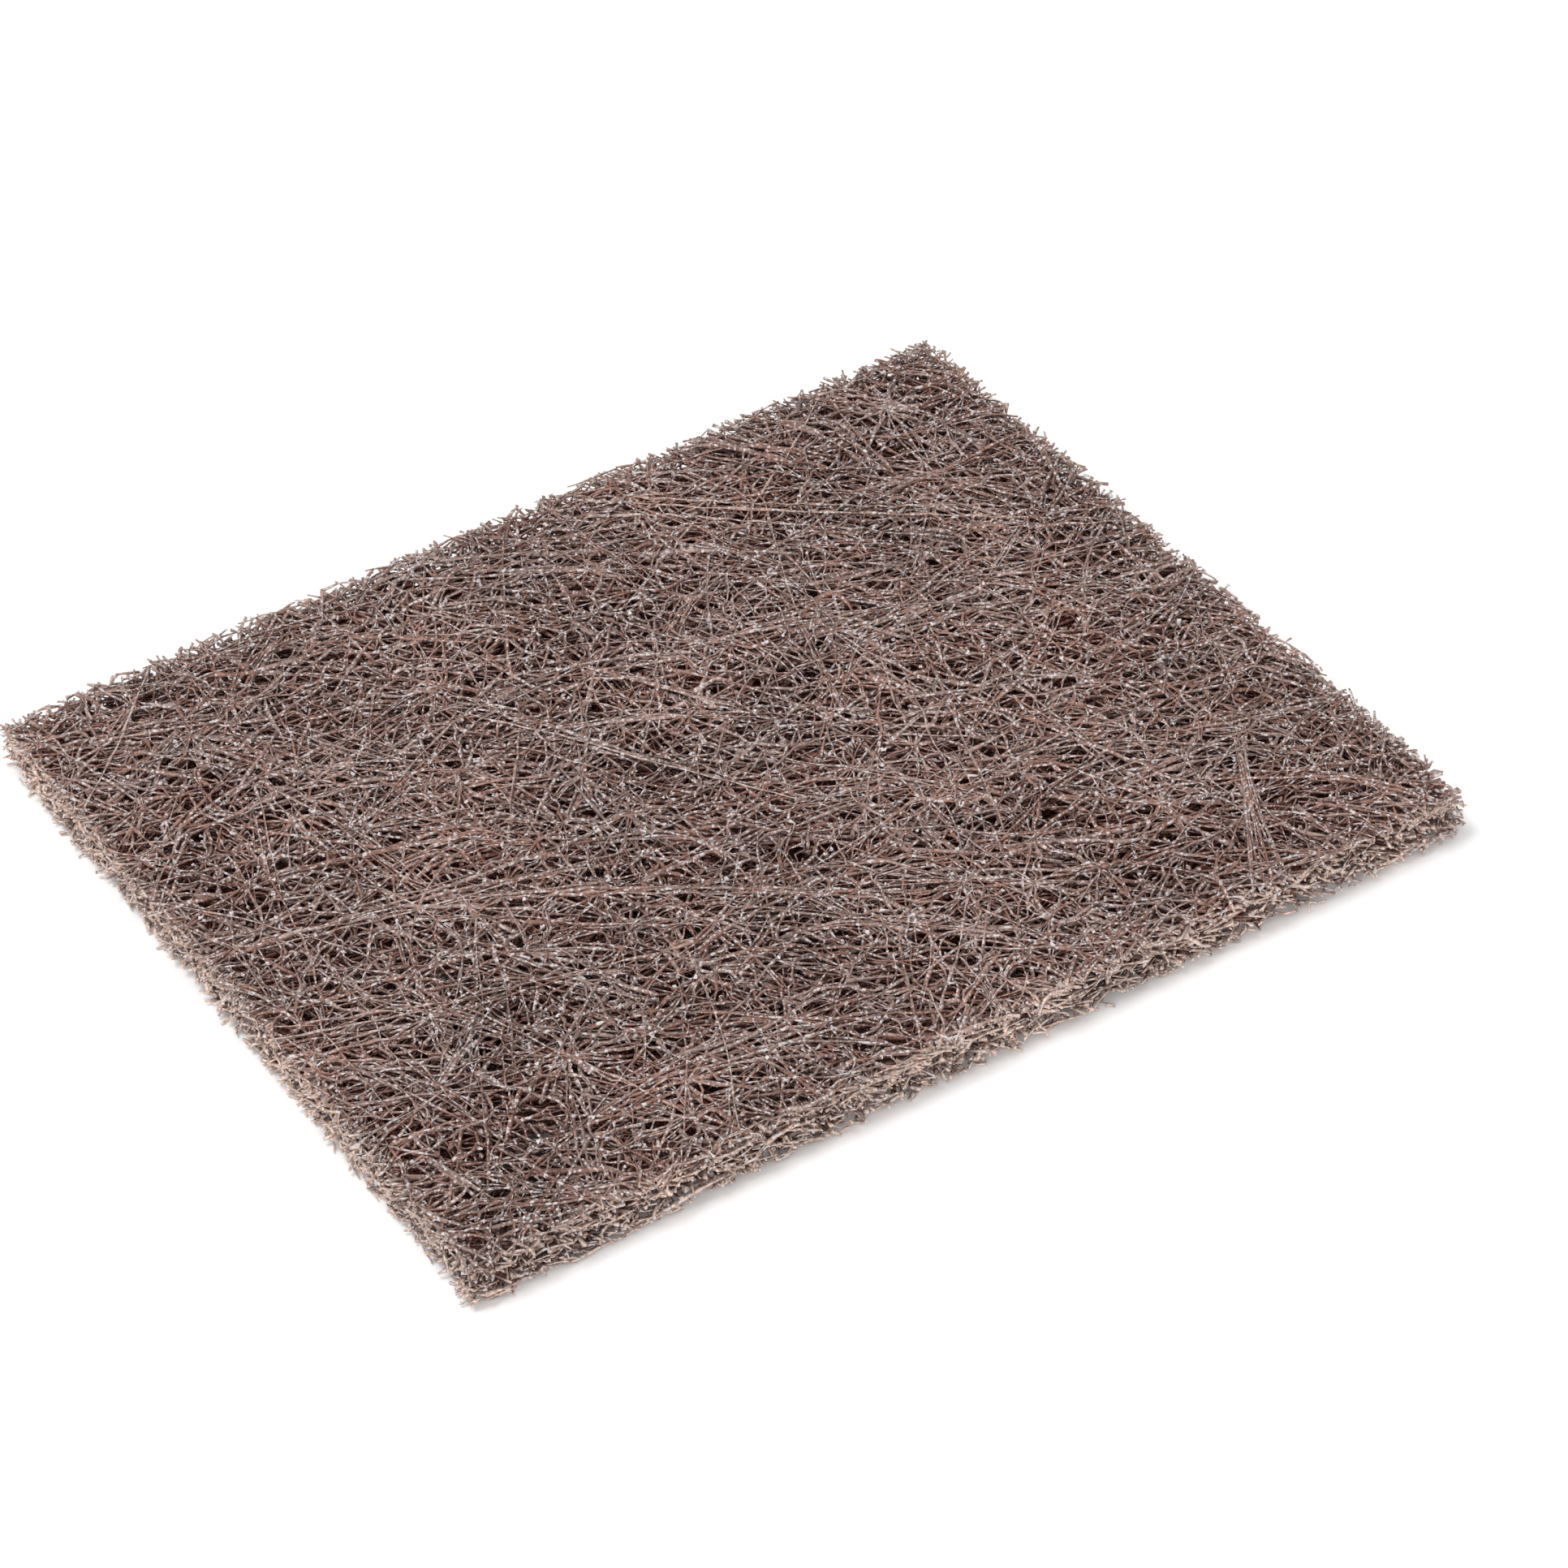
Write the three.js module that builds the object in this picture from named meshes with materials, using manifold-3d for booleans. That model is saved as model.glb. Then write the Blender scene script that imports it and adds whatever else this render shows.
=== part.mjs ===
// A nylon scouring pad: one open web of coarse bonded fibres, cut to a rectangle.
// Units are millimetres, +Z is up. The origin is the centre of the underside.
// On both faces long strands of fibre cross at knots and at all angles. The strands are the ridges
// that are left between pits, small gaps near the rim go right through, and the cut edge is ragged.

import * as THREE from 'three';
import { ConvexGeometry } from 'three/addons/geometries/ConvexGeometry.js';
import { mergeVertices } from 'three/addons/utils/BufferGeometryUtils.js';
import Module from 'manifold-3d';

// The pad
const PAD_LENGTH = 120;
const PAD_WIDTH = 100;
const PAD_THICKNESS = 6;

// The strands of a face, which run right across it through its knots
const KNOT_PITCH = 28;
const KNOT_SCATTER = 14;
const STRANDS_PER_KNOT = 2;
const STRAND_WIDTH_MIN = 0.5;
const STRAND_WIDTH_MAX = 1.2;
const STRAND_TURN_SCATTER = 0.3;

// The pits between the strands: resin closes a smaller one, and short strands cross a larger one
const PIT_AREA_MIN = 5;
const PIT_AREA_MAX = 60;
const PIT_STEEPNESS = 0.7;
const UNPITTED_MIDDLE = 1.2;

// The gaps right through, in the pits near the rim
const GAP_BAND = 7;
const GAP_SHARE = 0.4;

// The cut edge: courses of web, each with its own ragged outline
const COURSE_COUNT = 3;
const COURSE_OVERLAP = 0.1;
const TOOTH_PITCH = 4.5;
const TOOTH_DEPTH = 1.4;
const FULL_TEETH_SHARE = 0.3;

const PATTERN_SEED = 11;
const WELD_DISTANCE = 0.01;
const CUT_CLEARANCE = 1;

const PIT_DEPTH_MAX = (PAD_THICKNESS - UNPITTED_MIDDLE) / 2;

const wasm = await Module();
wasm.setup();

function between(low, high) {
  return THREE.MathUtils.lerp(low, high, THREE.MathUtils.seededRandom());
}

function toSolid(geometry) {
  geometry.deleteAttribute('normal');
  geometry.deleteAttribute('uv');
  const merged = mergeVertices(geometry);
  return new wasm.Manifold(new wasm.Mesh({
    numProp: 3,
    vertProperties: merged.attributes.position.array,
    triVerts: Uint32Array.from(merged.index.array),
    tolerance: WELD_DISTANCE,
  }));
}

function toGeometry(solid) {
  const { vertProperties, triVerts } = solid.getMesh();
  const geometry = new THREE.BufferGeometry();
  geometry.setAttribute('position', new THREE.BufferAttribute(vertProperties, 3));
  geometry.setIndex(new THREE.BufferAttribute(triVerts, 1));
  geometry.computeVertexNormals();
  return geometry;
}

function join(solids) {
  return solids.reduce((whole, solid) => whole.add(solid));
}

function padCorners() {
  return [[-1, -1], [1, -1], [1, 1], [-1, 1]].map(([x, y]) => (
    new THREE.Vector3(x * PAD_LENGTH / 2, y * PAD_WIDTH / 2, 0)
  ));
}

// A point of the pad's rectangle, moved as far as it takes to lie a distance in from every edge.
function drawnIn(point, distance) {
  const corner = new THREE.Vector2(PAD_LENGTH / 2 - distance, PAD_WIDTH / 2 - distance);
  return point.clone().clamp(corner.clone().negate(), corner);
}

// Points about one pitch apart, once round the edge of the pad.
function rimPoints(pitch) {
  const corners = padCorners().map(({ x, y }) => new THREE.Vector2(x, y));
  const rim = new THREE.Path(corners).closePath();
  const count = Math.round(rim.getLength() / pitch);
  return rim.getSpacedPoints(count).slice(0, count);
}

// Points about one pitch apart over the whole pad, each moved by up to half the scatter.
function scatteredPoints(pitch, scatter) {
  const columns = Math.max(1, Math.round(PAD_LENGTH / pitch));
  const rows = Math.max(1, Math.round(PAD_WIDTH / pitch));
  return Array.from({ length: columns * rows }, (_, index) => {
    const column = index % columns;
    const row = Math.floor(index / columns);
    const x = PAD_LENGTH * ((column + 0.5) / columns - 0.5);
    const y = PAD_WIDTH * ((row + 0.5) / rows - 0.5);
    const shift = new THREE.Vector3(between(-scatter, scatter), between(-scatter, scatter), 0);
    return new THREE.Vector3(x, y, 0).addScaledVector(shift, 0.5);
  });
}

// A straight strand of the web: the upright plane through its middle, and its width.
function strandThrough(point, turn) {
  const across = new THREE.Vector3(Math.cos(turn), Math.sin(turn), 0);
  return {
    middle: new THREE.Plane().setFromNormalAndCoplanarPoint(across, point),
    width: between(STRAND_WIDTH_MIN, STRAND_WIDTH_MAX),
  };
}

// The long strands of one face.
function layStrands() {
  return scatteredPoints(KNOT_PITCH, KNOT_SCATTER).flatMap((knot) => {
    const firstTurn = between(0, Math.PI);
    return Array.from({ length: STRANDS_PER_KNOT }, (_, strand) => {
      const step = strand + between(-STRAND_TURN_SCATTER, STRAND_TURN_SCATTER);
      return strandThrough(knot, firstTurn + Math.PI * step / STRANDS_PER_KNOT);
    });
  });
}

// The part of a convex cell that lies in front of a plane.
function clip(cell, plane) {
  return cell.flatMap((corner, index) => {
    const next = cell[(index + 1) % cell.length];
    const kept = plane.distanceToPoint(corner) >= 0 ? [corner] : [];
    const crossing = plane.intersectLine(new THREE.Line3(corner, next), new THREE.Vector3());
    return crossing ? [...kept, crossing] : kept;
  });
}

// The open cells that a strand leaves on its two sides, half its width away from its middle.
function split(cell, { middle, width }) {
  return [middle, middle.clone().negate()]
    .map((side) => clip(cell, new THREE.Plane(side.normal, side.constant - width / 2)))
    .filter((part) => part.length > 2 && THREE.ShapeUtils.area(part) > PIT_AREA_MIN);
}

// The cells of a large cell once short strands have crossed it.
function crossed(cell) {
  if (THREE.ShapeUtils.area(cell) < PIT_AREA_MAX) return [cell];
  return split(cell, strandThrough(middleOf(cell), between(0, Math.PI))).flatMap(crossed);
}

// The cells between the long and the short strands of one face.
function openCells(strands) {
  const cells = strands.reduce((left, strand) => (
    left.flatMap((cell) => split(cell, strand))
  ), [padCorners()]);
  return cells.flatMap(crossed);
}

function middleOf(cell) {
  const sum = cell.reduce((total, corner) => total.add(corner), new THREE.Vector3());
  return sum.divideScalar(cell.length);
}

function atHeight(cell, height) {
  return cell.map((corner) => corner.clone().setZ(height));
}

// A hollow with the outline of its cell, which narrows to a point. Inward is 1 or -1 along Z.
function makePit(cell, surface, inward) {
  const depth = Math.min(PIT_DEPTH_MAX, PIT_STEEPNESS * Math.sqrt(THREE.ShapeUtils.area(cell)));
  return toSolid(new ConvexGeometry([
    ...atHeight(cell, surface - inward * CUT_CLEARANCE),
    ...atHeight(cell, surface),
    middleOf(cell).setZ(surface + inward * depth),
  ]));
}

function isNearRim({ x, y }) {
  return Math.min(PAD_LENGTH / 2 - Math.abs(x), PAD_WIDTH / 2 - Math.abs(y)) < GAP_BAND;
}

// A straight hole right through the pad in the middle of a cell.
function makeGap(cell) {
  const middle = middleOf(cell);
  const mouth = cell.map((corner) => middle.clone().lerp(corner, GAP_SHARE));
  return toSolid(new ConvexGeometry([
    ...atHeight(mouth, -CUT_CLEARANCE),
    ...atHeight(mouth, PAD_THICKNESS + CUT_CLEARANCE),
  ]));
}

// The rectangle of the pad with teeth of chance depth. Some of them reach the rectangle itself.
function raggedOutline() {
  return new THREE.Shape(rimPoints(TOOTH_PITCH).map((point) => (
    drawnIn(point, Math.max(0, TOOTH_DEPTH * between(-FULL_TEETH_SHARE, 1)))
  )));
}

// The courses of the web, one on another, each with its own outline.
function makeCourses() {
  const rise = PAD_THICKNESS / COURSE_COUNT;
  return Array.from({ length: COURSE_COUNT }, (_, course) => {
    const floor = Math.max(0, course * rise - COURSE_OVERLAP);
    const depth = (course + 1) * rise - floor;
    const slab = new THREE.ExtrudeGeometry(raggedOutline(), { depth, bevelEnabled: false });
    return toSolid(slab.translate(0, 0, floor));
  });
}

function makePad() {
  THREE.MathUtils.seededRandom(PATTERN_SEED);
  const web = join(makeCourses());
  const upperCells = openCells(layStrands());
  const lowerCells = openCells(layStrands());
  const holes = join([
    ...upperCells.map((cell) => makePit(cell, PAD_THICKNESS, -1)),
    ...lowerCells.map((cell) => makePit(cell, 0, 1)),
    ...upperCells.filter((cell) => isNearRim(middleOf(cell))).map(makeGap),
  ]);
  return web.subtract(holes);
}

const coatedNylon = new THREE.MeshStandardMaterial({
  name: 'coated_nylon',
  color: 0x7a645d,
  roughness: 0.75,
  metalness: 0,
  flatShading: true,
});

const scouringPad = new THREE.Mesh(toGeometry(makePad()), coatedNylon);
scouringPad.name = 'scouring_pad';

const pad = new THREE.Group();
pad.add(scouringPad);

export default pad;
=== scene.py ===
import math
import random

import bmesh
import bpy
import numpy as np
from mathutils import Matrix, Vector


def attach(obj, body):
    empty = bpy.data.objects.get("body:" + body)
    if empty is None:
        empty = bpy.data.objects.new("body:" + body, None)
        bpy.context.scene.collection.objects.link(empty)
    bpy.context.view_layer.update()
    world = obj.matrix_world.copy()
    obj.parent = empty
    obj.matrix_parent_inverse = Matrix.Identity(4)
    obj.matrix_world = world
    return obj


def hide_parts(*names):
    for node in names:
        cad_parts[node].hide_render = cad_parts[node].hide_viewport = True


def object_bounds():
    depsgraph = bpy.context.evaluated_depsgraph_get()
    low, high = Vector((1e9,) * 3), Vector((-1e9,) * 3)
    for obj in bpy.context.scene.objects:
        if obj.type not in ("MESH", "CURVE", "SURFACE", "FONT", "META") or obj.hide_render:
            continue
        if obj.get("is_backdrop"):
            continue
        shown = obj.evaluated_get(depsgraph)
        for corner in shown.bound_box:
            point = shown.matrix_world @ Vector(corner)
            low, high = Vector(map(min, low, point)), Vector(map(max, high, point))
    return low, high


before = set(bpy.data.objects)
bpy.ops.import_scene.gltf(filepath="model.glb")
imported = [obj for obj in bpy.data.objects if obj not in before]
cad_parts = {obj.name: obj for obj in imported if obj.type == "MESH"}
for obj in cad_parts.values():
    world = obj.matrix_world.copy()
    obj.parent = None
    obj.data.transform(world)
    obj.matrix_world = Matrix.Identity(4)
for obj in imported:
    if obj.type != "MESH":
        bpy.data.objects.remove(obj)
CAD_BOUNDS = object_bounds()

# Lengths are metres, as in the frame. The pad lies flat with its underside at z = 0.
MM = 0.001
CAD_LOW, CAD_HIGH = CAD_BOUNDS
HALF_X = (CAD_HIGH.x - CAD_LOW.x) / 2
HALF_Y = (CAD_HIGH.y - CAD_LOW.y) / 2
THICKNESS = CAD_HIGH.z - CAD_LOW.z

CHANCE_SEED = 4
chance = random.Random(CHANCE_SEED)


# The camera

PHOTO_PIXELS = 1932
FOCUS_PIXELS = 6622.5
SENSOR_WIDTH = 36
CAMERA_AIM = Vector((4.72, -4.78, 3)) * MM
CAMERA_DISTANCE = 0.5686
CAMERA_AZIMUTH = math.radians(-120.795)
CAMERA_ELEVATION = math.radians(40.188)
CAMERA_ROLL = math.radians(-3.149)


def place_camera():
    camera = bpy.data.objects.new("camera", bpy.data.cameras.new("camera"))
    bpy.context.collection.objects.link(camera)
    back = Vector((
        math.cos(CAMERA_ELEVATION) * math.cos(CAMERA_AZIMUTH),
        math.cos(CAMERA_ELEVATION) * math.sin(CAMERA_AZIMUTH),
        math.sin(CAMERA_ELEVATION),
    ))
    turn = back.to_track_quat("Z", "Y").to_matrix().to_4x4()
    place = Matrix.Translation(CAMERA_AIM + CAMERA_DISTANCE * back)
    camera.matrix_world = place @ turn @ Matrix.Rotation(CAMERA_ROLL, 4, "Z")
    camera.data.sensor_width = SENSOR_WIDTH
    camera.data.lens = FOCUS_PIXELS / PHOTO_PIXELS * SENSOR_WIDTH
    camera.data.clip_start = 0.01
    bpy.context.scene.camera = camera


# The fibres of the web

# The middle of the outermost fibres lies a skin's depth within a face.
FIBRE_RADIUS = 0.14 * MM
SKIN = 0.28 * MM

# The distances between the points of a fibre. Points nearer than the last are one.
SHORT_STEP = 0.7 * MM
FINE_STEP = 0.75 * MM
LOWER_MAT_STEP = 1.2 * MM
RIM_STEP = 1.3 * MM
LONG_STEP = 1.7 * MM
MIDDLE_STEP = 2.4 * MM
COARSE_STEP = 4 * MM
LEAST_STEP = 0.02 * MM

# Each end of a fibre is cut within or beyond the rectangle. Lumps of resin swell it in places.
REACH_IN = 0.6 * MM
REACH_OUT = 0.5 * MM
LUMP_SHARE = 0.3
LUMP_SWELL = 2.0

# A fibre is crimped up and down, and its ends dive away from its face.
CRIMP_PITCHES = 3 * MM, 7 * MM
CRIMP_SWINGS = 0.03 * MM, 0.22 * MM
DIVES = 0.3 * MM, 2.0 * MM
DIVE_POWER = 2.2

# How far apart the fibres of a bundle or a run lie, and how far they fan out
BUNDLE_SPREAD = 0.4 * MM
BUNDLE_FAN = 0.06
RUN_SPREAD = 0.28 * MM
RUN_FAN = 0.02

# The blobs of resin: half their length, their slope, depth, radius, the share of it at their ends,
# and how far they stay in from the rim
BLOB_REACHES = 0.2 * MM, 0.55 * MM
BLOB_SLOPE = 0.12 * MM
BLOB_DEPTHS = 0.05 * MM, 1.15 * MM
BLOB_RADII = 0.15 * MM, 0.27 * MM
BLOB_END = 0.4
BLOB_INSET = 0.4 * MM

# How deep the fibres of each layer lie below their face, and how long they are
MAT_DEPTH = 1.3 * MM
MAT_LENGTHS = 7 * MM, 20 * MM
MAT_WANDER = 0.2
WEB_DEPTH = 0.35 * MM
WEB_LENGTHS = 10 * MM, 34 * MM
WEB_WANDER = 0.06
ARM_DEPTH = 0.3 * MM
ARM_LENGTHS = 3 * MM, 10 * MM
STAR_ARM_LENGTHS = 4 * MM, 11 * MM
UNDER_DEPTH = 2.8 * MM
UNDER_LENGTHS = 16 * MM, 44 * MM
DEEP_LENGTHS = 25 * MM, 60 * MM
DEEP_HEIGHTS = 0.5 * MM, THICKNESS - 0.9 * MM
DEEP_DIVE = 1.5 * MM
DEEP_MARGIN = 20 * MM
TOP_DEPTH = 0.02 * MM
TOP_LENGTHS = 30 * MM, 62 * MM
TOP_DIVE = 0.6 * MM
RUN_DEPTH = 0.15 * MM
RUN_DIVE = 0.4 * MM

# The fibres of the cut edge: most tips end near the outline, and the others stick out
TIP_ROOTS = 0.6 * MM, 2.2 * MM
TIP_LENGTH = 1.5 * MM
TIP_RISE = 0.7 * MM
NEAR_TIPS = -0.5 * MM, 0.2 * MM
FAR_TIPS = 0.2 * MM, 0.9 * MM
NEAR_SHARE = 0.75
EDGE_INSETS = -0.2 * MM, 1.0 * MM
EDGE_LENGTHS = 2 * MM, 7 * MM
EDGE_RISE = 1.2 * MM
EDGE_REACH = 0.3 * MM

# Most fibres are laid within a chance turn of one direction, the others at any angle.
LAY = math.radians(-31)
LAY_SPREAD = 0.6
LAID_SHARE = 0.45

# The fibres of a face bend round its open spots.
SPOT_PITCH = 2.8 * MM
SPOT_RADII = 0.35 * MM, 1.05 * MM
SPOT_DEPTH = 2.2 * MM

# The clearest straight fibres of the upper face, in millimetres: from, to, how many lie side by side
# and how bare they are
RUNS = (
    ((9.3, 50.5), (47.6, 14.2), 2, 0.6),
    ((7.5, 47.3), (36.0, 27.8), 1, 0.5),
    ((47.6, -27.0), (34.6, -49.0), 7, 0.0),
    ((-59.8, 4.3), (-13.0, -6.7), 4, 0.1),
    ((-31.4, -4.5), (9.4, -30.6), 3, 0.2),
    ((-49.0, 12.0), (-24.0, 2.0), 4, 0.0),
    ((-4.0, 22.0), (4.5, 6.0), 4, 0.0),
    ((9.0, 17.5), (23.5, 14.5), 5, 0.0),
)
# The clearest knots of the upper face, in millimetres
KNOTS = (
    (33.8, -33.8), (-51.7, -43.1), (18.2, -17.8), (0.6, -25.8), (-19.6, -26.6), (-37.1, -30.3),
    (-25.0, 13.1), (-2.6, 10.3), (22.1, 14.8), (13.3, -41.0), (-42.2, 17.4),
)


class Strand:
    """One fibre: its points and radii from end to end, a chance tone and how far it is bare nylon."""

    def __init__(self, points, radius, beige=0.0):
        self.points = points
        self.radii = [radius * self.swelling() for _ in points]
        self.tone = chance.random()
        self.beige = beige

    @staticmethod
    def swelling():
        lump = LUMP_SWELL if chance.random() < LUMP_SHARE else 1.0
        return lump * chance.uniform(0.62, 1.12)


def overhang(point):
    """How far a point is outside the pad's rectangle. It is negative inside."""
    return max(abs(point.x) - HALF_X, abs(point.y) - HALF_Y)


def towards(heading):
    return Vector((math.cos(heading), math.sin(heading), 0))


def any_heading():
    if chance.random() < LAID_SHARE:
        return LAY + chance.gauss(0, LAY_SPREAD) + chance.choice((0, math.pi))
    return chance.uniform(0, math.tau)


def any_point(margin=0.0):
    """A chance point of the pad's plan, or of a margin round it."""
    return Vector((
        chance.uniform(-HALF_X - margin, HALF_X + margin),
        chance.uniform(-HALF_Y - margin, HALF_Y + margin),
        0,
    ))


def course(start, heading, length, step, bend=0.0, wander=0.025):
    """The points of a fibre in plan. Bend is in radians to the metre."""
    points = [start]
    for _ in range(max(1, round(length / step))):
        heading += bend * step + chance.gauss(0, wander)
        points.append(points[-1] + step * towards(heading))
    return points


def part_way(ends, share):
    """The value that lies a share of the way from one end of a range to the other."""
    low, high = ends
    return low + (high - low) * share


def at_heights(points, height):
    """The points lifted to the height that a function gives for each share of the way along."""
    last = len(points) - 1
    return [
        Vector((point.x, point.y, min(THICKNESS - SKIN, max(SKIN, height(i / last)))))
        for i, point in enumerate(points)
    ]


def trimmed(points, reach=None):
    """The first stretch inside the rectangle, each end cut a chance distance within or beyond it."""
    if reach is None:
        reach = chance.uniform(-REACH_IN, REACH_OUT)
    kept = []
    for here, there in zip(points, points[1:]):
        before, after = overhang(here) - reach, overhang(there) - reach
        if before > 0 and after > 0:
            continue
        if before > 0:
            kept = [here.lerp(there, before / (before - after))]
        elif not kept:
            kept = [here]
        if after > 0:
            kept.append(here.lerp(there, before / (before - after)))
            break
        kept.append(there)
    return kept[:1] + [there for here, there in zip(kept, kept[1:]) if (there - here).length > LEAST_STEP]


class Face:
    """The upper (1) or the lower (-1) face of the web, with the open spots in it."""

    def __init__(self, side):
        self.side = side
        self.spots = {}
        columns, rows = (math.ceil(half / SPOT_PITCH) for half in (HALF_X, HALF_Y))
        for column in range(-columns, columns):
            for row in range(-rows, rows):
                middle = ((cell + chance.uniform(0.2, 0.8)) * SPOT_PITCH for cell in (column, row))
                self.spots[column, row] = (*middle, chance.uniform(*SPOT_RADII))

    def height(self, depth):
        """The height of a fibre this far below the face."""
        top = THICKNESS - SKIN - depth
        return top if self.side > 0 else THICKNESS - top

    def bent_aside(self, point):
        """A point of a fibre, moved out of the open spot that it is in."""
        column, row = (math.floor(part / SPOT_PITCH) for part in point.xy)
        if abs(point.z - self.height(0)) > SPOT_DEPTH:
            return point
        for near in ((column + i, row + j) for i in (-1, 0, 1) for j in (-1, 0, 1)):
            x, y, radius = self.spots.get(near, (0, 0, 0))
            away = point - Vector((x, y, point.z))
            if 0 < away.length < 2 * radius:
                point = point + away.normalized() * (radius - away.length / 2)
        return point


def arch(crest, dive, side, long):
    """A height function whose middle is at the crest and whose ends dive away from a face."""
    waves = long / chance.uniform(*CRIMP_PITCHES)
    phase = chance.uniform(0, math.tau)
    swing = chance.uniform(*CRIMP_SWINGS)

    def height(share):
        fall = dive * abs(2 * share - 1) ** DIVE_POWER
        return crest - side * fall + swing * math.sin(math.tau * waves * share + phase)

    return height


def make_bundle(face, deepest, length, step, count=1, wander=0.03, beige=0.0, dive=None, bends=True):
    """Fibres that run side by side near one face."""
    heading = any_heading()
    middle = any_point(length[1] / 3)
    bend = chance.gauss(0, 7)
    strands = []
    for _ in range(count):
        long = chance.uniform(*length)
        turned = heading + chance.gauss(0, BUNDLE_FAN)
        start = middle - towards(turned) * long * chance.uniform(0.4, 0.6)
        start += towards(turned + math.pi / 2) * chance.gauss(0, BUNDLE_SPREAD)
        crest = face.height(deepest * chance.random() ** 1.3)
        sink = chance.uniform(*DIVES) if dive is None else dive
        plan = course(start, turned, long, step, bend, wander)
        points = trimmed(at_heights(plan, arch(crest, sink, face.side, long)))
        if bends:
            points = [face.bent_aside(point) for point in points]
        strands.append(Strand(points, FIBRE_RADIUS * chance.uniform(0.75, 1.12), beige))
    return strands


def make_burst(face, knot, arms, length, step):
    """Fibres that radiate from one knot at a face and dive as they go."""
    first = chance.uniform(0, math.tau)
    strands = []
    for arm in range(arms):
        heading = first + math.tau * (arm + chance.uniform(-0.35, 0.35)) / arms
        long = chance.uniform(*length)
        depth = chance.uniform(0, ARM_DEPTH)
        fall = long * chance.uniform(0.0, 0.13)
        plan = course(knot, heading, long, step, chance.gauss(0, 8))
        points = trimmed(at_heights(plan, lambda share: face.height(depth + fall * share)))
        points = [face.bent_aside(point) for point in points]
        strands.append(Strand(points, FIBRE_RADIUS * chance.uniform(0.8, 1.15)))
    return strands


def make_blob(face):
    """A lump of resin among the fibres, drawn out along a chance heading. A deeper one is larger."""
    heading = any_heading()
    share = chance.random()
    half = chance.uniform(*BLOB_REACHES) * towards(heading)
    half.z = chance.gauss(0, BLOB_SLOPE)
    spot = any_point(-BLOB_INSET)
    spot.z = face.height(part_way(BLOB_DEPTHS, share))
    middle = face.bent_aside(spot)
    blob = Strand([middle - half, middle, middle + half], part_way(BLOB_RADII, share))
    blob.radii[0] *= BLOB_END
    blob.radii[-1] *= BLOB_END
    return blob


def scattered(pitch, scatter):
    """Points about one pitch apart all over the pad."""
    columns, rows = round(2 * HALF_X / pitch), round(2 * HALF_Y / pitch)
    for column in range(columns):
        for row in range(rows):
            yield Vector((
                2 * HALF_X * ((column + 0.5) / columns - 0.5) + chance.uniform(-scatter, scatter),
                2 * HALF_Y * ((row + 0.5) / rows - 0.5) + chance.uniform(-scatter, scatter),
                0,
            ))


def face_mat(face, count, step):
    """The short crinkled fibres that most of a face is made of."""
    strands = []
    for _ in range(count):
        strands += make_bundle(face, MAT_DEPTH, MAT_LENGTHS, step, 1, MAT_WANDER)
    return strands


def face_web(face, bundles, knot_pitch, arms, steps):
    """The straighter fibres that cross a face."""
    strands = []
    for _ in range(bundles):
        count = chance.choice((1, 1, 2, 3, 4))
        strands += make_bundle(face, WEB_DEPTH, WEB_LENGTHS, steps[1], count, WEB_WANDER, bends=False)
    for knot in scattered(knot_pitch, knot_pitch * 0.45):
        if overhang(knot) < 0:
            strands += make_burst(face, knot, chance.randint(*arms), ARM_LENGTHS, steps[0])
    return strands


def under_web(face, count, step):
    """The fibres just below those of a face."""
    strands = []
    for _ in range(count):
        strands += make_bundle(face, UNDER_DEPTH, UNDER_LENGTHS, step)
    return strands


def deep_web(count, step):
    strands = []
    for _ in range(count):
        long = chance.uniform(*DEEP_LENGTHS)
        plan = course(any_point(DEEP_MARGIN), any_heading(), long, step, chance.gauss(0, 10), 0.08)
        crest = chance.uniform(*DEEP_HEIGHTS)
        points = trimmed(at_heights(plan, arch(crest, chance.uniform(-DEEP_DIVE, DEEP_DIVE), 1, long)))
        strands.append(Strand(points, FIBRE_RADIUS * chance.uniform(0.9, 1.35)))
    return strands


def long_strands(face, count, step):
    """The long pale fibres that lie on top."""
    strands = []
    for _ in range(count):
        strands += make_bundle(face, TOP_DEPTH, TOP_LENGTHS, step, beige=chance.uniform(0.3, 0.9),
                               dive=TOP_DIVE, bends=False)
    return strands


def make_run(face, start, end, count, beige, step):
    """Straight fibres side by side from one place to another."""
    start, end = (Vector((*place, 0)) * MM for place in (start, end))
    way = end - start
    strands = []
    for _ in range(count):
        aside = Vector((-way.y, way.x, 0)).normalized() * chance.gauss(0, RUN_SPREAD)
        ahead = way * chance.uniform(-0.08, 0.08)
        heading = math.atan2(way.y, way.x) + chance.gauss(0, RUN_FAN)
        plan = course(start + aside + ahead, heading, way.length, step, wander=0.03)
        crest = face.height(chance.uniform(0, RUN_DEPTH))
        points = trimmed(at_heights(plan, arch(crest, RUN_DIVE, face.side, way.length)))
        strands.append(Strand(points, FIBRE_RADIUS * chance.uniform(0.8, 1.0), beige))
    return strands


def rim_point():
    """A point on the pad's outline, and the heading straight out of it."""
    along = chance.uniform(0, 4 * (HALF_X + HALF_Y))
    if along < 4 * HALF_X:
        out = 1 if along < 2 * HALF_X else -1
        return Vector((along % (2 * HALF_X) - HALF_X, out * HALF_Y, 0)), out * math.pi / 2
    along -= 4 * HALF_X
    out = 1 if along < 2 * HALF_Y else -1
    return Vector((out * HALF_X, along % (2 * HALF_Y) - HALF_Y, 0)), (1 - out) * math.pi / 2


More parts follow.
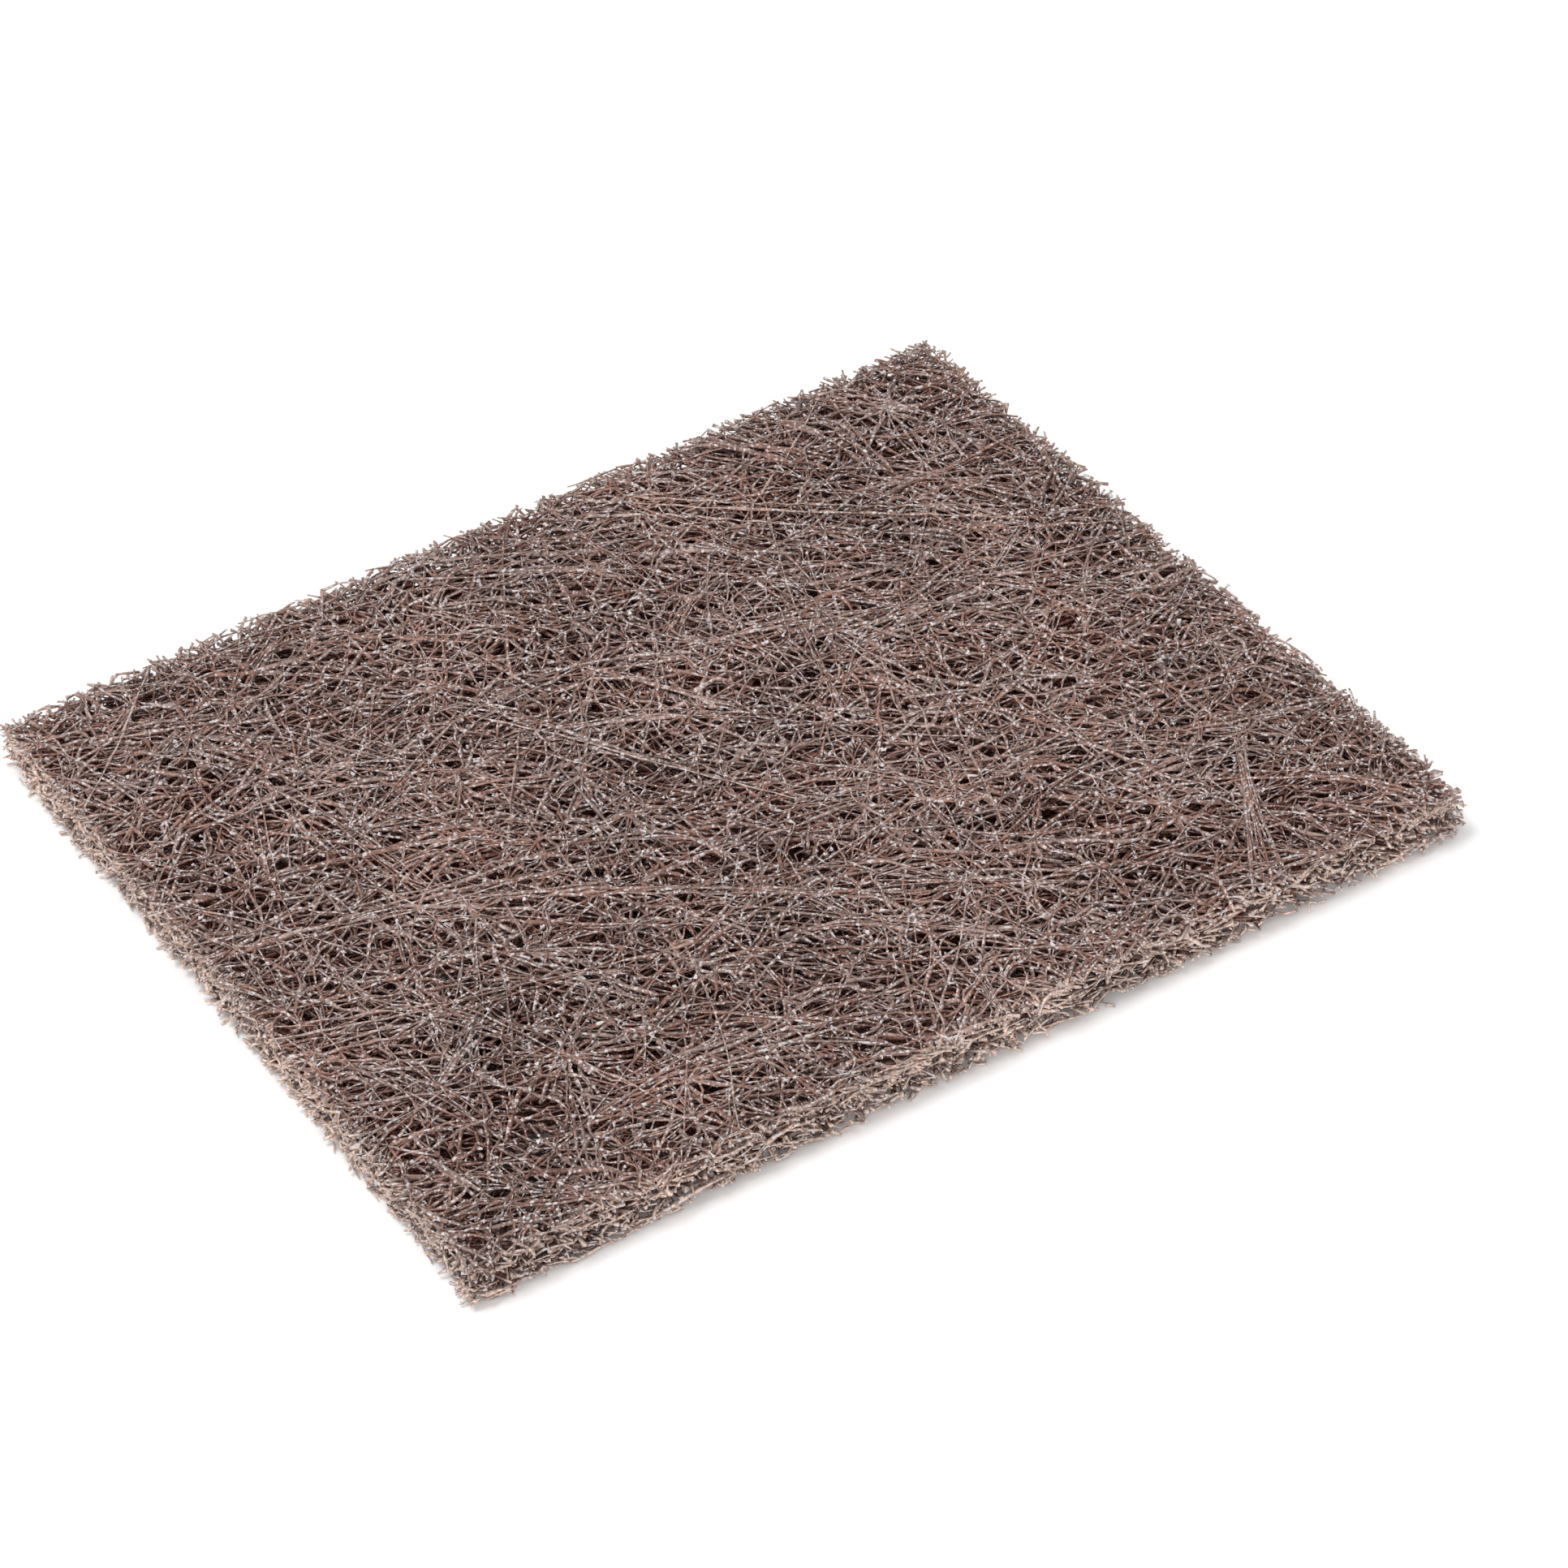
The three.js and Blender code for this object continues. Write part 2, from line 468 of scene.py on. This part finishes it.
def rim_fringe(count, step):
    """Short fibres across the cut edge, some of whose tips stick out."""
    strands = []
    for _ in range(count):
        spot, out = rim_point()
        heading = out + chance.gauss(0, 0.8)
        back = chance.uniform(*TIP_ROOTS)
        start = spot - back * towards(heading)
        reach = chance.uniform(*(NEAR_TIPS if chance.random() < NEAR_SHARE else FAR_TIPS))
        level = chance.uniform(SKIN, THICKNESS - SKIN)
        rise = chance.gauss(0, TIP_RISE)
        plan = course(start, heading, back + TIP_LENGTH, step, chance.gauss(0, 90), 0.1)
        points = trimmed(at_heights(plan, lambda share: level + rise * share), reach)
        if len(points) > 1:
            strands.append(Strand(points, FIBRE_RADIUS * chance.uniform(0.75, 1.15), chance.random() * 0.5))
    return strands


def rim_strands(count, step):
    """Pale fibres that run along the cut edge."""
    strands = []
    for _ in range(count):
        spot, out = rim_point()
        inset = chance.uniform(*EDGE_INSETS)
        heading = out + math.pi / 2 + chance.gauss(0, 0.5)
        start = spot - inset * towards(out)
        level = chance.uniform(SKIN, THICKNESS - SKIN)
        rise = chance.gauss(0, EDGE_RISE)
        plan = course(start, heading, chance.uniform(*EDGE_LENGTHS), step, chance.gauss(0, 60), 0.2)
        points = trimmed(at_heights(plan, lambda share: level + rise * share), EDGE_REACH)
        strands.append(Strand(points, FIBRE_RADIUS * chance.uniform(0.7, 1.0), chance.uniform(0.0, 0.8)))
    return strands


def chance_way():
    return Vector((chance.gauss(0, 1), chance.gauss(0, 1), chance.gauss(0, 1))).normalized()


def add_grain(strands, count, size):
    """Short blunt grains stuck to chance points of these fibres."""
    grains = []
    for _ in range(count):
        strand = chance.choice(strands)
        at = chance.randrange(len(strand.points) - 1)
        radius = size * chance.uniform(0.6, 1.25)
        middle = strand.points[at].lerp(strand.points[at + 1], chance.random())
        middle = middle + chance_way() * strand.radii[at] * 0.8
        axis = chance_way() * radius
        grains.append(Strand([middle - axis, middle + axis], radius))
    return grains


# The tubes and their map

# Each fibre is a tube with this many sides.
SIDES = 3

# The map of the strips: its width to its height, and the margins of a strip and of its ends
MAP_ASPECT = 1.9
MAP_MARGIN = 0.12
STRIP_INSET = 0.35
CAP_REACH = 0.3


def read_array(items, name, kind):
    values = np.empty(len(items), dtype=kind)
    items.foreach_get(name, values)
    return values


def map_strips(mesh, strands):
    """Gives each fibre its own strip of the map, with its length along U."""
    counts = np.array([len(strand.points) for strand in strands])
    before = np.concatenate(([0], np.cumsum(counts + 1)[:-1])).astype(float)
    row_length = np.sum(counts + 1) / max(1, math.ceil(math.sqrt(np.sum(counts + 1) / MAP_ASPECT)))
    row = np.floor(before / row_length)
    width = row_length + counts.max() + 1

    vertex = read_array(mesh.loops, "vertex_index", np.int64)
    owner = np.repeat(np.arange(len(strands)), counts * SIDES)[vertex]
    first = np.concatenate(([0], np.cumsum(counts * SIDES)[:-1]))
    ring, corner = np.divmod(vertex - first[owner], SIDES)

    starts = read_array(mesh.polygons, "loop_start", np.int64)
    totals = read_array(mesh.polygons, "loop_total", np.int64)

    def spread(values):
        reach = np.maximum.reduceat(values, starts) - np.minimum.reduceat(values, starts)
        return np.repeat(reach, totals)

    is_cap = spread(ring) == 0
    around = np.where((spread(corner) == SIDES - 1) & (corner == 0) & ~is_cap, SIDES, corner).astype(float)
    along = ring.astype(float)
    along[is_cap] += np.where(ring == 0, -CAP_REACH, CAP_REACH)[is_cap] * (corner[is_cap] == 1)
    around[is_cap] *= SIDES / (SIDES - 1)
    u = (before[owner] - row[owner] * row_length + along + STRIP_INSET) / width
    v = (row[owner] + MAP_MARGIN + around / SIDES * (1 - 2 * MAP_MARGIN)) / (row.max() + 1)
    while mesh.uv_layers:
        mesh.uv_layers.remove(mesh.uv_layers[0])
    layer = mesh.uv_layers.new(name="OFBake")
    layer.uv.foreach_set("vector", np.stack((u, v), axis=1).ravel())


def give_attribute(mesh, name, strands, values):
    counts = [len(strand.points) * SIDES for strand in strands]
    attribute = mesh.attributes.new(name, "FLOAT", "POINT")
    attribute.data.foreach_set("value", np.repeat(values, counts).astype(np.float32))


def close_ends(mesh):
    """Fills the open ring at each end of each tube."""
    shape = bmesh.new()
    shape.from_mesh(mesh)
    rims = [edge for edge in shape.edges if edge.is_boundary]
    bmesh.ops.holes_fill(shape, edges=rims, sides=SIDES)
    bmesh.ops.recalc_face_normals(shape, faces=shape.faces)
    shape.to_mesh(mesh)
    shape.free()


def new_curve(name, splines, cyclic=False):
    """A curve of straight splines. Each is a list of points and a list of radii."""
    curve = bpy.data.curves.new(name, "CURVE")
    curve.dimensions = "3D"
    for points, radii in splines:
        spline = curve.splines.new("POLY")
        spline.use_cyclic_u = cyclic
        spline.points.add(len(points) - 1)
        spline.points.foreach_set("co", [c for point in points for c in (*point, 1)])
        spline.points.foreach_set("radius", radii)
    holder = bpy.data.objects.new(name, curve)
    bpy.context.collection.objects.link(holder)
    return holder


def section_corner(number):
    turn = math.tau * number / SIDES
    return math.cos(turn), math.sin(turn), 0


def make_tubes(name, strands, material, smooth=True):
    """One piece that holds every fibre as a closed tube."""
    section = new_curve("section", [([section_corner(i) for i in range(SIDES)], [1] * SIDES)], True)
    lines = new_curve(name, [(strand.points, strand.radii) for strand in strands])
    lines.data.bevel_mode = "OBJECT"
    lines.data.bevel_object = section
    mesh = bpy.data.meshes.new_from_object(lines.evaluated_get(bpy.context.evaluated_depsgraph_get()))
    for helper in (lines, section):
        bpy.data.curves.remove(helper.data)
    close_ends(mesh)
    mesh.name = name
    if smooth:
        mesh.shade_smooth()
    else:
        mesh.shade_flat()
    map_strips(mesh, strands)
    give_attribute(mesh, "tone", strands, [strand.tone for strand in strands])
    give_attribute(mesh, "beige", strands, [strand.beige for strand in strands])
    mesh.materials.clear()
    mesh.materials.append(material)
    piece = bpy.data.objects.new(name, mesh)
    bpy.context.collection.objects.link(piece)
    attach(piece, "root")
    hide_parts("scouring_pad")


# Shader maths

class Value:
    """An output of a node, on which Python's arithmetic makes Math nodes."""

    def __init__(self, tree, socket):
        self.tree = tree
        self.socket = socket

    @staticmethod
    def feed(tree, target, value):
        if isinstance(value, Value):
            tree.links.new(value.socket, target)
        else:
            target.default_value = value

    @classmethod
    def node(cls, tree, kind, settings=None, inputs=None, output=0):
        """A node of any type, with its settings made before its inputs are fed."""
        node = tree.nodes.new(kind)
        for name, value in (settings or {}).items():
            setattr(node, name, value)
        for name, value in (inputs or {}).items():
            cls.feed(tree, node.inputs[name], value)
        return cls(tree, node.outputs[output])

    def parts(self, kind):
        """The outputs of a node that separates this into its parts."""
        first = self.node(self.tree, kind, {}, {0: self})
        return [Value(self.tree, output) for output in first.socket.node.outputs]

    def math(self, operation, *others):
        return self.node(self.tree, "ShaderNodeMath", {"operation": operation},
                         dict(enumerate((self, *others))))

    def __add__(self, other):
        return self.math("ADD", other)

    def __radd__(self, other):
        return self.math("ADD", other)

    def __sub__(self, other):
        return self.math("SUBTRACT", other)

    def __rsub__(self, other):
        return (self * -1) + other

    def __mul__(self, other):
        return self.math("MULTIPLY", other)

    def __rmul__(self, other):
        return self.math("MULTIPLY", other)

    def __abs__(self):
        return self.math("ABSOLUTE")

    def larger(self, other):
        return self.math("MAXIMUM", other)

    def ramp(self, low, high):
        """0 below low, 1 above high and smooth between."""
        return self.node(self.tree, "ShaderNodeMapRange", {"interpolation_type": "SMOOTHSTEP"},
                         {"Value": self, "From Min": low, "From Max": high})

    def between(self, first, second):
        """The colour that lies this share of the way from the first to the second."""
        return self.node(self.tree, "ShaderNodeMix", {"data_type": "RGBA"},
                         {0: self, 6: first, 7: second}, 2)

    def scaled(self, factor):
        """This colour made lighter or darker by a factor."""
        return self.node(self.tree, "ShaderNodeVectorMath", {"operation": "SCALE"},
                         {"Vector": self, "Scale": factor})


def srgb(red, green, blue):
    """A colour given as 0 to 255, for a colour socket."""
    def linear(level):
        level /= 255
        return level / 12.92 if level <= 0.04045 else ((level + 0.055) / 1.055) ** 2.4
    return linear(red), linear(green), linear(blue), 1.0


LIT_COAT = srgb(155, 131, 123)
WARM_COAT = srgb(146, 110, 98)
# Painted shade: the dark maroon that the coat is turned to where its fibres lie deep below a face
SHADED_DEEP_COAT = srgb(104, 40, 24)
BARE_NYLON = srgb(212, 186, 172)
# The grains' own pale grey, brightened further as a painted glint
GRAIN_AND_GLINT = srgb(203, 197, 197)

# How fine the noises and the cells of the coat are, in waves or cells to the metre
REGION_SCALE = 75
PATCH_SCALE = 260
RAGGED_SCALE = 900
CELL_SCALE = 3700
ROUGHNESS_SCALE = 6500

# Where painted shade darkens the web, by depth below a face and by distance out from the rim, and where it is
# cut
SHADE_DEPTHS = 0.4 * MM, 2.3 * MM
SHADE_RIM = -0.4 * MM, -2.0 * MM
CUT_RIM = -0.9 * MM, 0.3 * MM
CUT_RAGGED = 2.4 * MM
COAT_RELIEF = 0.05 * MM


def make_coated_nylon(name, grain_and_glint_share):
    material = bpy.data.materials.new(name)
    material.use_nodes = True
    tree = material.node_tree
    shader = tree.nodes["Principled BSDF"]
    place = Value.node(tree, "ShaderNodeTexCoord", output="Object")
    x, y, z = place.parts("ShaderNodeSeparateXYZ")
    tone = Value.node(tree, "ShaderNodeAttribute", {"attribute_name": "tone"}, output="Fac")
    beige = Value.node(tree, "ShaderNodeAttribute", {"attribute_name": "beige"}, output="Fac")

    def noise(scale, detail):
        return Value.node(tree, "ShaderNodeTexNoise", {}, {"Vector": place, "Scale": scale, "Detail": detail})

    patches = noise(PATCH_SCALE, 3)
    regions = noise(REGION_SCALE, 2)
    ragged = noise(RAGGED_SCALE, 2)
    rough_skin = noise(ROUGHNESS_SCALE, 2)
    cells = {"Vector": place, "Scale": CELL_SCALE}
    cell_tint = Value.node(tree, "ShaderNodeTexVoronoi", {}, cells, "Color")
    cell_reach = Value.node(tree, "ShaderNodeTexVoronoi", {}, cells, "Distance")
    cell_chance = cell_tint.parts("ShaderNodeSeparateColor")[0]

    depth = THICKNESS / 2 - abs(z - THICKNESS / 2)
    rim = (abs(x) - HALF_X).larger(abs(y) - HALF_Y)
    # Painted shade: the web darkens with depth below a face, except near the rim
    painted_sunk_shade = depth.ramp(*SHADE_DEPTHS) * rim.ramp(*SHADE_RIM)
    cut = (rim + (ragged - 0.5) * CUT_RAGGED).ramp(*CUT_RIM)
    # The cut edge shows its bare pale nylon; it is paler still on the lower part of the side, which is
    # painted light lifting the shade there
    bare_cut_and_painted_light = cut * (0.45 + 0.55 * (z * -1).ramp(-THICKNESS, -THICKNESS * 0.6))
    # The pale cells are the grains' own colour and also a painted glint
    grain_and_glint = cell_chance.ramp(1 - grain_and_glint_share, 1 - grain_and_glint_share + 0.05)

    warm = (patches - 0.5) * 2 + tone
    speck = (0.5 + 0.95 * cell_chance) * (0.5 + regions)
    colour = warm.ramp(0.2, 0.9).between(LIT_COAT, WARM_COAT)
    # Painted shade: deep fibres are mixed towards the dark maroon
    colour = (painted_sunk_shade * 0.8).between(colour, SHADED_DEEP_COAT)
    colour = bare_cut_and_painted_light.larger(beige * 0.6).between(colour, BARE_NYLON)
    colour = colour.scaled(speck)
    # The painted glint fades in the painted shade below a face
    colour = (grain_and_glint * (1 - 0.8 * painted_sunk_shade)).between(colour, GRAIN_AND_GLINT)
    Value.feed(tree, shader.inputs["Base Color"], colour)
    Value.feed(tree, shader.inputs["Roughness"], 0.62 - 0.3 * grain_and_glint)
    height = rough_skin * 0.5 + (1 - cell_reach) * 0.5
    relief = {"Strength": 0.6, "Distance": COAT_RELIEF, "Height": height}
    bump = Value.node(tree, "ShaderNodeBump", {}, relief)
    Value.feed(tree, shader.inputs["Normal"], bump)
    shader.inputs["Specular IOR Level"].default_value = 0.28
    return material


# The pieces

# How many fibres, bundles, blobs and grains there are in each layer, and how it is knotted
UPPER_MAT = 3200
UPPER_BUNDLES = 420
UPPER_KNOT_PITCH = 8.5 * MM
UPPER_ARMS = 8, 12
UPPER_BLOBS = 6200
STAR_ARMS = 14
LOWER_MAT = 1000
LOWER_BUNDLES = 300
LOWER_KNOT_PITCH = 11 * MM
LOWER_ARMS = 7, 10
LOWER_BLOBS = 1500
UNDER_UPPER = 1500
UNDER_LOWER = 500
DEEP_FIBRES = 2300
EDGE_TIPS = 3300
EDGE_FIBRES = 900
TOP_FIBRES = 14
FACE_GRAINS = 10000
FACE_GRAIN_SIZE = 0.14 * MM
EDGE_GRAINS = 1200
EDGE_GRAIN_SIZE = 0.09 * MM

# How much of a fibre and of a loose grain is pale: the grains' own pale colour with a painted glint on it
FIBRE_GRAIN_AND_GLINT_SHARE = 0.19
LOOSE_GRAIN_AND_GLINT_SHARE = 0.8

# The upper web is made as a piece for each of these letters.
UPPER_PARTS = "abc"


def whole(strands):
    """The fibres that are more than one point."""
    return [strand for strand in strands if len(strand.points) > 1]


def upper_fibres(face):
    strands = face_mat(face, UPPER_MAT, FINE_STEP)
    strands += face_web(face, UPPER_BUNDLES, UPPER_KNOT_PITCH, UPPER_ARMS, (FINE_STEP, LONG_STEP))
    for run in RUNS:
        strands += make_run(face, *run, LONG_STEP)
    for knot in KNOTS:
        strands += make_burst(face, Vector((*knot, 0)) * MM, STAR_ARMS, STAR_ARM_LENGTHS, FINE_STEP)
    strands += [make_blob(face) for _ in range(UPPER_BLOBS)]
    return whole(strands)


def lower_fibres(face):
    strands = face_mat(face, LOWER_MAT, LOWER_MAT_STEP)
    strands += face_web(face, LOWER_BUNDLES, LOWER_KNOT_PITCH, LOWER_ARMS, (LONG_STEP, MIDDLE_STEP))
    strands += [make_blob(face) for _ in range(LOWER_BLOBS)]
    return whole(strands)


def inner_fibres(top, bottom):
    strands = under_web(top, UNDER_UPPER, MIDDLE_STEP)
    strands += under_web(bottom, UNDER_LOWER, COARSE_STEP)
    strands += deep_web(DEEP_FIBRES, COARSE_STEP)
    return whole(strands)


def edge_fibres(top):
    strands = rim_fringe(EDGE_TIPS, SHORT_STEP)
    strands += rim_strands(EDGE_FIBRES, RIM_STEP)
    strands += long_strands(top, TOP_FIBRES, LONG_STEP)
    return whole(strands)


def make_pad():
    web = make_coated_nylon("coated_nylon", FIBRE_GRAIN_AND_GLINT_SHARE)
    grit = make_coated_nylon("coated_grain", LOOSE_GRAIN_AND_GLINT_SHARE)
    top, bottom = Face(1), Face(-1)
    upper = upper_fibres(top)
    lower = lower_fibres(bottom)
    chance.shuffle(upper)
    for start, letter in enumerate(UPPER_PARTS):
        make_tubes("upper_web_" + letter, upper[start::len(UPPER_PARTS)], web)
    make_tubes("lower_web", lower, web)
    make_tubes("inner_web", inner_fibres(top, bottom), web)
    edge = edge_fibres(top)
    make_tubes("edge_strands", edge, web)
    grains = add_grain(upper, FACE_GRAINS, FACE_GRAIN_SIZE) + add_grain(edge, EDGE_GRAINS, EDGE_GRAIN_SIZE)
    make_tubes("grain_and_glint", grains, grit, smooth=False)


# The floor and the light

FLOOR_RADIUS = 4
FLOOR_SIDES = 64
FLOOR_COLOUR = 0.93, 0.93, 0.93, 1
SKY_STRENGTH = 0.75

# The lamps: place, size and watts. Each faces the middle of the pad.
LAMPS = {
    "key": ((-0.5, 0.2, 1.5), 0.6, 12),
    "fill": ((-0.75, -1.15, 0.4), 0.8, 10),
}


def make_floor():
    bpy.ops.mesh.primitive_circle_add(vertices=FLOOR_SIDES, radius=FLOOR_RADIUS, fill_type="NGON")
    floor = bpy.context.object
    floor.name = "floor"
    material = bpy.data.materials.new("floor")
    material.use_nodes = True
    shader = material.node_tree.nodes["Principled BSDF"]
    shader.inputs["Base Color"].default_value = FLOOR_COLOUR
    shader.inputs["Roughness"].default_value = 0.9
    shader.inputs["Specular IOR Level"].default_value = 0.1
    floor.data.materials.append(material)
    floor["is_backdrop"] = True


def make_sky():
    world = bpy.data.worlds.new("studio")
    world.use_nodes = True
    bpy.context.scene.world = world
    tree = world.node_tree
    background = tree.nodes["Background"]
    background.inputs["Color"].default_value = (1, 1, 1, 1)
    seen = Value.node(tree, "ShaderNodeLightPath", output="Is Camera Ray")
    Value.feed(tree, background.inputs["Strength"], SKY_STRENGTH + (1 - SKY_STRENGTH) * seen)


def add_lamp(name, place, size, power):
    lamp = bpy.data.lights.new(name, "AREA")
    lamp.size = size
    lamp.energy = power
    holder = bpy.data.objects.new(name, lamp)
    bpy.context.collection.objects.link(holder)
    holder.location = place
    holder.rotation_euler = Vector(place).to_track_quat("Z", "Y").to_euler()


place_camera()
make_floor()
make_sky()
for lamp_name, lamp_facts in LAMPS.items():
    add_lamp(lamp_name, *lamp_facts)
make_pad()

bpy.context.scene.view_settings.view_transform = "Standard"
[[list(corner) for corner in pair] for pair in (CAD_BOUNDS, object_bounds())]
